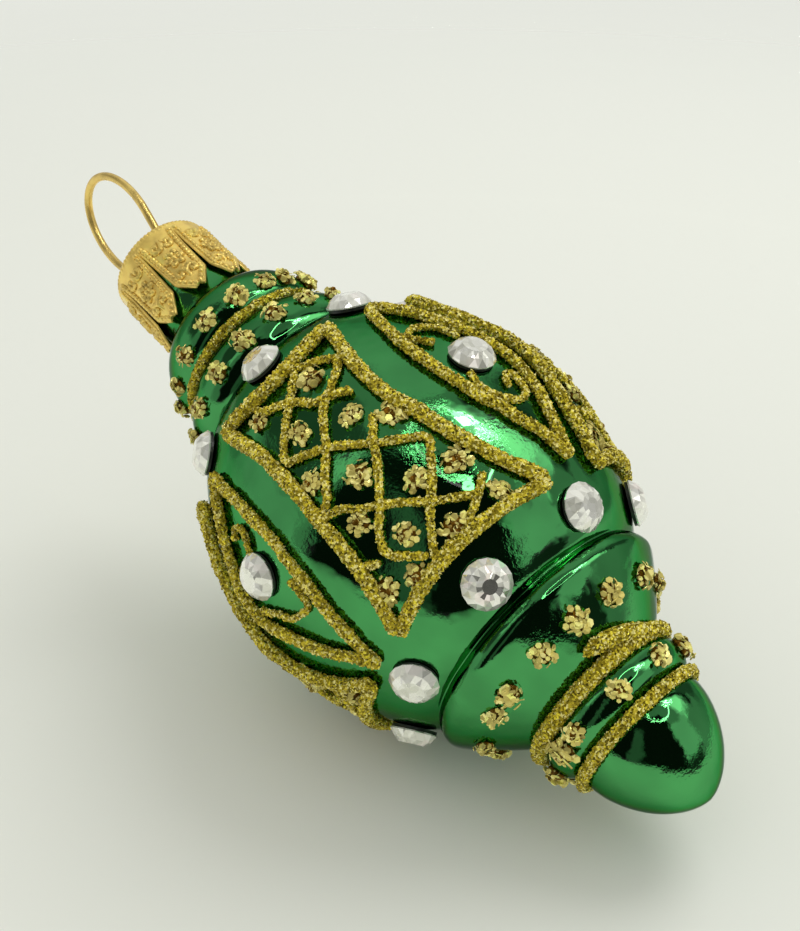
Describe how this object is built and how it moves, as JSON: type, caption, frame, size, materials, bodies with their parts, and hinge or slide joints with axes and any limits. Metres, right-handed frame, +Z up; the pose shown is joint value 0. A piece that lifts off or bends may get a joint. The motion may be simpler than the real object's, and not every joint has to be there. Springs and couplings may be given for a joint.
{
  "type": "cone ornament",
  "caption": "Hollow blown-glass cone ornament: ridged neck, round belly, flared foot and finial, with piped glitter lattice, flat-backed stones and a petalled metal cap with a wire loop.",
  "frame": {"origin": "where a hook bears on the inside of the wire loop's top", "axes": "+Z up along the ornament's axis, from the finial to the loop; the wire's two legs stand in line along X, and a hook passes through the loop along Y"},
  "size_m": [0.0528, 0.0528, 0.1242],
  "materials": {
    "green_glass": "silvered inside, clear green lacquer outside, high gloss",
    "gold_cap": "stamped sheet, satin gold",
    "brass_wire": "drawn wire, semi-gloss",
    "gold_glitter": "fine gold glitter on glue",
    "gold_flakes": "coarse gold flakes on glue",
    "clear_stone": "clear, faceted, silvered back"
  },
  "bodies": {
    "glass": {"glass_body": "green_glass", "neck_ring": "gold_glitter", "flare_ring": "gold_glitter", "tail_ring": "gold_glitter", "lattice_panel_1": "gold_glitter", "lattice_panel_2": "gold_glitter", "lattice_panel_3": "gold_glitter", "lattice_panel_4": "gold_glitter", "leaf_frame_1": "gold_glitter", "leaf_frame_2": "gold_glitter", "leaf_frame_3": "gold_glitter", "leaf_frame_4": "gold_glitter", "upper_scroll_1": "gold_glitter", "upper_scroll_2": "gold_glitter", "upper_scroll_3": "gold_glitter", "upper_scroll_4": "gold_glitter", "lower_scroll_1": "gold_glitter", "lower_scroll_2": "gold_glitter", "lower_scroll_3": "gold_glitter", "lower_scroll_4": "gold_glitter", "flare_dot_1": "gold_flakes", "flare_dot_2": "gold_flakes", "flare_dot_3": "gold_flakes", "flare_dot_4": "gold_flakes", "flare_dot_5": "gold_flakes", "flare_dot_6": "gold_flakes", "flare_dot_7": "gold_flakes", "flare_dot_8": "gold_flakes", "flare_dot_9": "gold_flakes", "flare_dot_10": "gold_flakes", "flare_dot_11": "gold_flakes", "flare_dot_12": "gold_flakes", "flare_dot_13": "gold_flakes", "flare_dot_14": "gold_flakes", "leaf_stone_1": "clear_stone", "leaf_stone_2": "clear_stone", "leaf_stone_3": "clear_stone", "leaf_stone_4": "clear_stone", "shoulder_stone_1": "clear_stone", "shoulder_stone_2": "clear_stone", "shoulder_stone_3": "clear_stone", "shoulder_stone_4": "clear_stone", "shoulder_stone_5": "clear_stone", "shoulder_stone_6": "clear_stone", "shoulder_stone_7": "clear_stone", "shoulder_stone_8": "clear_stone", "foot_stone_1": "clear_stone", "foot_stone_2": "clear_stone", "foot_stone_3": "clear_stone", "foot_stone_4": "clear_stone", "foot_stone_5": "clear_stone", "foot_stone_6": "clear_stone", "foot_stone_7": "clear_stone", "foot_stone_8": "clear_stone"},
    "cap": {"cap": "gold_cap"},
    "hanger": {"hanger_wire": "brass_wire"}
  },
  "joints": [
    {"name": "cap_pull", "type": "slide", "parent": "glass", "child": "cap", "axis": [0, 0, 1], "range_m": [0, 0.02]},
    {"name": "hanger_rock", "type": "hinge", "parent": "cap", "child": "hanger", "pos_m": [0, 0, -0.01862], "axis": [1, 0, 0], "range_deg": [-9, 9]}
  ]
}
